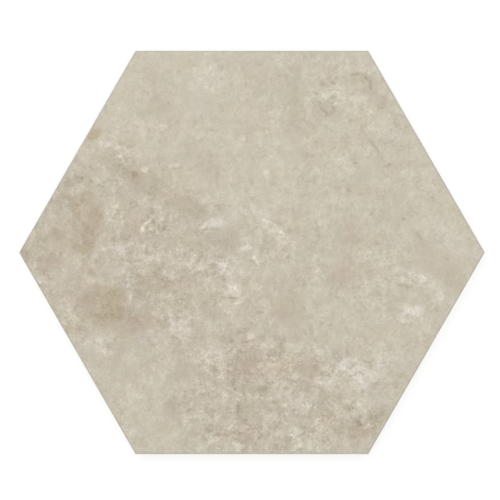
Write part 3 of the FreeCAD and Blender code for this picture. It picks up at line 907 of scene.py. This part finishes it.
# %% Fine marks
FINE_MARKS = [
    ("milky", [
        (-21.9, 18.8, 5, 3.5, 0, 9), (-25.4, 19, 3, 3.3, 0, 8), (-93.5, 67.5, 2, 1.6, 0, 11),
        (-89.5, 66.8, 2.6, 2, -30, 11), (-76.5, -17, 1.2, 6, 0, 12), (-75.5, -27, 1.1, 3, 0, 8),
        (-13, -23.5, 3.6, 2, 20, 8), (-9, -31, 3.5, 1.2, 15, 9), (-19, -8, 2.6, 1.6, 0, 8),
        (101.5, -35.8, 5, 2.8, 0, 8), (96, -37, 2.5, 1.5, 0, 8), (62, -74, 2.4, 1.4, 40, 10),
        (66, -79, 3.6, 1.6, -30, 9), (69, -83.5, 5, 1.8, 0, 8), (56, -68, 3.5, 1.4, 35, 8),
        (64, -67, 4, 1.1, -15, 9), (76, -78, 3.5, 2, 40, 7), (79, -68, 1.8, 4.5, 0, 7),
        (-84, 3, 5, 1.3, 8, 9), (-76, 5, 3.4, 1.4, 25, 9), (117, -27, 4, 2, -30, 7),
        (106, -16, 4, 1.8, -20, 7), (94, -11, 6, 1.2, -20, 7), (9, 19.5, 5, 0.9, -20, 10),
        (16, 15, 4.5, 1, -40, 10), (10, 12, 3.5, 0.8, 35, 9), (19, 12, 3, 0.9, -10, 9),
        (-3, 3, 3.5, 1.8, 10, 9),
    ]),
    ("cream", [
        (-30, 16.2, 3.2, 1.4, 35, 17), (-66.5, 51.5, 2.2, 1.7, 0, 12), (-68, 14.2, 1.8, 1.6, 75, 22),
        (-66.5, 17, 2.2, 1.2, 58, 22), (-63.8, 19.1, 2.2, 1.1, 25, 20), (-58.6, 12.3, 1.5, 1.3, 0, 16),
        (-61.5, 15, 1.4, 0.8, 20, 12), (-59, 15.4, 0.6, 1.8, 0, 10), (-57.8, 20.2, 1.8, 0.8, 0, 11),
        (-47, 54.3, 2.6, 0.6, 4, 9), (-0.5, -52, 2.6, 1.8, 25, 16), (9, 50, 2, 1.5, 0, 6),
        (-49.5, -16, 2.4, 1.6, 0, 8), (2, -4, 1.9, 1.2, -50, 11), (3.8, -6.5, 2.2, 0.8, -50, 9),
        (94.5, -42, 2.2, 1.6, 0, 8), (29.5, -118, 1.5, 3, 0, 12), (20, -94.5, 2, 1.3, 0, 9),
        (-6, 70, 2, 1.5, 0, 7), (-10, -118, 2.6, 1.4, 0, 10), (69, -104, 2.6, 1.4, 50, 9),
        (47, -60, 0.8, 3.4, 15, 7), (-46, 1, 0.8, 2.6, 10, 9), (-43.5, 0.5, 0.8, 2.6, 10, 9),
        (-88, 9, 0.8, 2.6, -35, 9), (-91, 2, 2.6, 0.8, -10, 9), (-52, -27, 3, 0.7, 30, 9),
        (23, -70, 4.5, 0.8, 14, 9), (-24, 32, 2.2, 0.7, 0, 7), (-21, -14, 3.2, 0.7, 25, 8),
        (-82, 59.8, 1.8, 1.1, 10, 9), (-80, 56.6, 1.2, 1.4, 0, 9), (-84, 64.6, 3.4, 0.8, 20, 4),
        (-77.5, 63.4, 2.6, 0.8, 5, 8), (-58.5, 78, 3.6, 1, 5, 9), (-54.5, 38.5, 2, 1, -20, 8),
        (-77.5, 40.3, 1.4, 0.9, -30, 7), (71, -108, 2.6, 1.1, 35, 11), (72.5, -105.5, 0.8, 2.2, -15, 9),
    ]),
    ("dark", [
        (-61.3, 18.6, 1.2, 0.9, 0, 16), (-60.4, 16, 0.7, 2, 0, 13), (-65.3, 15.4, 1, 1.4, 0, 13),
        (-57.6, 16.2, 0.6, 1.8, 0, 12), (-72.5, 48.5, 2.2, 1.6, -25, 12), (-11, -28.3, 3.2, 0.7, 5, 18),
        (-19.5, 29.5, 2.4, 0.5, 0, 10), (-45.5, 52.2, 3, 0.6, 6, 11), (-46, 56.3, 2.2, 0.5, -15, 9),
        (-26.5, 14.3, 5.5, 0.6, 0, 10), (64.5, 110.5, 3.6, 1, 12, 12), (70.5, 108.5, 3, 1, -45, 11),
        (73.5, 103.5, 1.1, 3.4, 5, 12), (43.5, 104, 2.3, 1.4, 20, 12), (50, 105, 1.8, 1.2, 0, 10),
        (45.5, 87, 4.5, 1, -35, 12), (50, 90, 1, 2.8, 15, 10), (61, 82, 1.8, 1, 30, 9),
        (67, 87.5, 3.4, 0.8, 45, 8), (76.5, 65, 5.2, 1, -52, 10), (50.5, 64.5, 2.6, 0.7, 50, 10),
        (34, 60.5, 1, 2, 20, 9), (64, 55.3, 1.5, 0.9, 0, 12), (85.5, 54.3, 1.1, 1, 0, 13),
        (9, 53.2, 2.4, 0.5, 0, 8), (60, 38.5, 1.8, 1.1, -35, 11), (67, 36, 1.3, 1.2, 0, 9),
        (46, 36.5, 2.5, 0.6, 10, 7), (94, 20.5, 1.4, 1.2, 0, 12), (-94.3, 41.4, 2, 0.8, 5, 10),
        (-99.5, 44.4, 1.6, 1.4, 0, 7), (-89, 32.4, 1.4, 0.8, 0, 7), (-81, 38.6, 1.2, 0.7, -30, 7),
        (-76, 65.8, 2.2, 0.8, -25, 8), (-82.5, 57.5, 2.4, 0.9, -30, 8), (-72.5, 28.5, 2, 0.8, 10, 9),
    ]),
    ("dark", [
        (77.5, 6, 1.6, 1, -35, 13), (74, 23.5, 1.4, 0.8, 25, 9), (112, 34, 1.3, 0.8, -25, 11),
        (41.5, 9.5, 0.8, 1.8, 0, 9), (103.5, 10, 3.6, 0.8, -50, 9), (83, -16.5, 4, 0.8, -20, 9),
        (94, -20.5, 5, 1, -12, 10), (98, -17, 4.2, 0.6, -35, 8), (69.5, -33.5, 3.6, 0.6, -60, 8),
        (23.5, -15.5, 0.7, 3.2, -25, 9), (5, -37, 2, 0.9, 0, 12), (-12, -55, 1.8, 1.4, 0, 12),
        (-7.5, -49.5, 2.5, 0.9, 15, 12), (-4, -55.5, 2.5, 0.7, 0, 10), (48, -75, 0.7, 3, 0, 11),
        (59, -61.5, 0.9, 2.4, 10, 11), (73.5, -70, 1, 2.6, 10, 13), (67.5, -74.5, 2, 0.8, -35, 12),
        (61, -76.5, 1.5, 1, 0, 12), (63, -70, 2.6, 0.6, 25, 9), (70, -67.5, 3, 0.7, -35, 10),
        (66, -106, 1.8, 2, 0, 12), (75, -108.5, 2.6, 0.8, 20, 12), (77, -103, 0.9, 2.4, 10, 11),
        (-8.5, -97, 0.9, 3.4, 0, 13), (-4, -104, 1.5, 1.1, 0, 12), (-5.5, -62, 1.7, 0.9, 0, 9),
        (-53.8, 15, 2.8, 1, 45, 12), (67.5, -106, 1.6, 1.1, -20, 11), (79.5, -100, 2.2, 1.6, 0, 8),
        (73.8, -102.8, 0.9, 3, 0, 8), (64.5, -104.5, 2, 0.9, -40, 8), (62.5, -113.5, 3, 1.4, -30, 7),
    ]),
]
CRISP_BRUSH = (1.2, 0.7)
MARK_OPACITY = 1.25
SWERVE = (0.02, 0.015, 0)  # mm for each level of strength


def ovals(place, shapes):
    """The strength of all these ovals together at a place."""
    total = 0
    for x, y, half_length, half_width, turn, strength in shapes:
        inside = face.node("ShaderNodeMapping", {"vector_type": "TEXTURE"}, {
            "Vector": place, "Location": (x, y, 0), "Rotation": (0, 0, math.radians(turn)),
            "Scale": (half_length, half_width, 1)})
        away = face.node("ShaderNodeVectorMath", {"operation": "LENGTH"}, {0: inside}, "Value")
        total = face.spread(away, *CRISP_BRUSH, 0, strength) + total
    return total


# %% Add it up
LIGHT_GROUND = (203.9, 196.1, 177.1)
STAIN_CLOUDING = 0.5  # how much the clouds thin or thicken the paint
COOL_SIZE = 24
COOL_TINT = (-1.0, -0.3, 1.1)
PINK_SIZE = 20
PINK_TINT = (0.5, -0.7, 0.3)
GRAIN_TINT = (0.92, 1.01, 1.07)

cool = face.noise(flat_place + (205, 15, 0), COOL_SIZE, 2, 0.6)
pink = face.noise(flat_place + (5, 415, 0), PINK_SIZE, 2, 0.6)
levels = LIGHT_GROUND + stains * (1 + clouds * STAIN_CLOUDING)
levels = levels + cool * COOL_TINT + pink * PINK_TINT
levels = levels + (mottling - specks) * GRAIN_TINT

place = pushed_about(flat_place, (80, 20, 0), 3, 2, 0.5)
for kind, shapes in FINE_MARKS:
    strength = ovals(place, shapes) * MARK_OPACITY
    levels = levels + strength * COLOURS[kind]
    place = place + strength * SWERVE
print("fine marks", sum(len(shapes) for kind, shapes in FINE_MARKS), "in", len(FINE_MARKS), "groups")

# %% [markdown]
# A shader counts in light, a screen in levels. The screen's own curve turns one into the other, as it does
# for a picked colour, with a Gamma node for the power.

# %% Colour, gloss and bump of the face
GLAZE_ROUGHNESS = 0.55
CLOUD_GLOSS = 0.08  # how much smoother the glaze is where a cloud is pale
RELIEF_SIZE = 2.4  # mm
RELIEF_DEPTH = 0.03 * MM


def same_in_all(value):
    """A number as a colour, the same in red, green and blue."""
    return (value, value, value)


share = levels * same_in_all(1 / SCREEN_WHITE / (1 + CURVE_OFFSET))
share = share + same_in_all(CURVE_OFFSET / (1 + CURVE_OFFSET))
face.shade({
    "Base Color": face.node("ShaderNodeGamma", {}, {"Color": share, "Gamma": CURVE_POWER}),
    "Roughness": GLAZE_ROUGHNESS - clouds * CLOUD_GLOSS,
    "Normal": face.bump(face.noise(flat_place, RELIEF_SIZE, 4, 0.7), RELIEF_DEPTH),
})
print(face.material.name, len(face.tree.nodes), "nodes")

# %% [markdown]
# ## Body
# Where no glaze is, the fired body shows: pale beige, with fine grains of darker clay and pale feldspar.
# The grinding wheels run along the wall and leave fine lines. At the top of the arris the cut goes through
# the glaze and the white layer under it. The back keeps traces of the white wash that parts the tile from
# the kiln's rollers: it sits on the ribs, and handling has rubbed it thin.

# %% Grains of the body
BODY_COLOUR = screen_colour(191, 182, 165)
CLAY_COLOUR = screen_colour(160, 149, 131)
FELDSPAR_COLOUR = screen_colour(214, 207, 193)
BODY_GRAIN = 0.6  # mm
PER_MM = (1 / MM, 1 / MM, 1 / MM)


def body_colour(finish, place):
    """The colour of the bare body at a place in mm."""
    ragged = place + finish.noise(place, BODY_GRAIN, 2, 0.7, "Color", "3D") * same_in_all(BODY_GRAIN / 2)
    grains = {"Vector": ragged, "Scale": 1 / BODY_GRAIN}
    kind = finish.node("ShaderNodeTexVoronoi", {}, grains, "Color")
    away = finish.node("ShaderNodeTexVoronoi", {}, grains, "Distance")
    inside = finish.spread(away, 0.5, 0.25)
    dark = finish.mix(inside * finish.spread(kind, 0.32, 0.2), BODY_COLOUR, CLAY_COLOUR)
    return finish.mix(inside * finish.spread(kind, 0.66, 0.78), dark, FELDSPAR_COLOUR)


# %% Ground arris and wall
GLAZE_DEPTH = 0.15 * MM
ENGOBE_DEPTH = 0.14 * MM  # the white layer under the glaze
GLAZE_COLOUR = screen_colour(196, 188, 170)
ENGOBE_COLOUR = screen_colour(226, 221, 210)
GLAZE_BLUR = 0.02  # mm to either side, over which a layer ends
ENGOBE_BLUR = 0.03
WHEEL_STRETCH = (0.05, 0.05, 6)  # draws noise out into lines along the wall
WHEEL_DEPTH = 0.02 * MM
WHEEL_SHADE = 0.1  # how far grinding darkens the wall, and how far its lines vary that
LINE_SHADE = 0.25

wall = Finish("ground_body", {"Roughness": 0.7, "IOR": 1.5})
wall_place = wall.node("ShaderNodeTexCoord", {}, {}, "Object") * PER_MM
depth = face_height / MM - wall.node("ShaderNodeSeparateXYZ", {}, {0: wall_place}, "Z")
glaze_end = (mean_depth + GLAZE_DEPTH) / MM
engobe_end = glaze_end + ENGOBE_DEPTH / MM
under_glaze = wall.spread(depth, glaze_end - GLAZE_BLUR, glaze_end + GLAZE_BLUR)
under_engobe = wall.spread(depth, engobe_end - ENGOBE_BLUR, engobe_end + ENGOBE_BLUR)
wheel_lines = wall.noise(wall_place * WHEEL_STRETCH, 1, 3, 0.5, dimensions="3D")
layers = wall.mix(under_glaze, GLAZE_COLOUR, ENGOBE_COLOUR)
layers = wall.mix(under_engobe, layers, body_colour(wall, wall_place))
ground_colour = wall.mix(wheel_lines * LINE_SHADE + WHEEL_SHADE, layers, CLAY_COLOUR)
wall.shade({"Base Color": ground_colour, "Normal": wall.bump(wheel_lines, WHEEL_DEPTH)})

# %% Pressed back with its kiln wash
WASH_COLOUR = screen_colour(224, 221, 214)
PATCH_SIZE = 30  # mm
STREAK_SIZE = 2.4
STREAK_STRETCH = (0.3, 1, 1)  # draws the streaks out along X, the way the tile went through the kiln
STREAK_SHARE = 0.4
WASH_FULL = 0.05  # mm above the plane that the back rests on
WASH_END = 0.25
POCKET_WASH = 0.25  # how much of it the pockets get
LEAST_WASH = 0.05
MOST_WASH = 0.9
PRESSED_GRAIN = 0.9
PRESSED_DEPTH = 0.04 * MM

back = Finish("pressed_body", {"Roughness": 0.85, "IOR": 1.5})
back_place = back.node("ShaderNodeTexCoord", {}, {}, "Object") * PER_MM
height = back.node("ShaderNodeSeparateXYZ", {}, {0: back_place}, "Z")
patchy = back.noise(back_place, PATCH_SIZE, 5, 0.7)
streaky = back.noise(back_place * STREAK_STRETCH, STREAK_SIZE, 3, 0.6)
on_land = back.spread(height, WASH_END, WASH_FULL, POCKET_WASH, 1)
wash = on_land * back.spread(patchy + streaky * STREAK_SHARE, -0.6, 0.8, LEAST_WASH, MOST_WASH)
uneven_fire = back.spread(patchy, -0.4, 0.4, 0, 0.25)
fired_unevenly = back.mix(uneven_fire, body_colour(back, back_place), CLAY_COLOUR)
pressed_grain = back.noise(back_place, PRESSED_GRAIN, 4, 0.5, dimensions="3D")
back.shade({
    "Base Color": back.mix(wash, fired_unevenly, WASH_COLOUR),
    "Normal": back.bump(pressed_grain, PRESSED_DEPTH),
})
print(wall.material.name, len(wall.tree.nodes), "nodes,", back.material.name, len(back.tree.nodes), "nodes")

# %% Give each face of the mesh its finish
tile.data.materials.clear()
for finish in (face, wall, back):
    tile.data.materials.append(finish.material)


def on_wall(part):
    """The ground wall and the arris above it."""
    middle = part.calc_center_median()
    return outward(middle) > face_flats / 2 + RIM_TOLERANCE and middle.z > BEVEL_HEIGHT


def on_back(part):
    """The pressed back and its bevel."""
    return part.calc_center_median().z < BEVEL_HEIGHT


work_on(tile, "EDIT")
for slot, wanted in ((1, on_wall), (2, on_back)):
    found = pick(tile, "FACE", wanted)
    tile.active_material_index = slot
    bpy.ops.object.material_slot_assign()
    print(tile.data.materials[slot].name, found, "faces")
bpy.ops.object.mode_set(mode="OBJECT")

# %% [markdown]
# ## Map for the bake
# Outside Blender a material can't be worked out from nodes, so it can be painted on a picture, through the
# map named OFBake. The face is what people look at, so this map gives it three quarters of the width. The
# back gets less, and the six walls are unrolled into strips.

# %% A map with most room for the face
FACE_SHARE = 0.76  # of the width of the picture
WALL_SHARE = 0.58  # of the width, for the length of a wall's strip
MAP_GAP = 0.006

bake_map = tile.data.uv_layers.new(name="OFBake")
tile.data.uv_layers.active = bake_map
face_scale = FACE_SHARE / (2 * corner_radius(face_flats))
face_middle = (MAP_GAP + FACE_SHARE / 2, 1 - MAP_GAP - face_scale * face_flats / 2)
back_scale = (face_middle[1] - face_scale * across_flats / 2 - 2 * MAP_GAP) / back_flats
back_middle = (MAP_GAP + back_scale * corner_radius(back_flats), MAP_GAP + back_scale * back_flats / 2)
wall_scale = WALL_SHARE / corner_radius(across_flats)
wall_middle = 1 - MAP_GAP - WALL_SHARE / 2
strip_step = wall_scale * (face_height + BEVEL_WIDTH + ARRIS) + MAP_GAP

for part in tile.data.polygons:
    side = math.floor(math.degrees(math.atan2(part.center.y, part.center.x)) / 60) % 6
    turn = math.radians(60 * side + 30)
    under_wall = outward(part.center) > back_flats / 2
    for corner in part.loop_indices:
        point = tile.data.vertices[tile.data.loops[corner].vertex_index].co
        if part.material_index == 0:
            place = (face_middle[0] + face_scale * point.x, face_middle[1] + face_scale * point.y)
        elif part.material_index == 2 and not under_wall:
            place = (back_middle[0] - back_scale * point.x, back_middle[1] + back_scale * point.y)
        else:
            along = point.y * math.cos(turn) - point.x * math.sin(turn)
            inward = across_flats / 2 - outward(point)
            unrolled = BEVEL_WIDTH + point.z + (inward if point.z > BEVEL_HEIGHT else -inward)
            place = (wall_middle + wall_scale * along, MAP_GAP + side * strip_step + wall_scale * unrolled)
        bake_map.data[corner].uv = place
print("face has", round(FACE_SHARE * 100), "%, back", round(200 * back_scale * corner_radius(back_flats)),
      "% of the picture's width, walls end at", round(6 * strip_step, 3), "of its height")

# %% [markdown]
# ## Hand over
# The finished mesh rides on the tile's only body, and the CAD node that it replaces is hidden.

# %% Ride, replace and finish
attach(tile, "root")
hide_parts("tile")
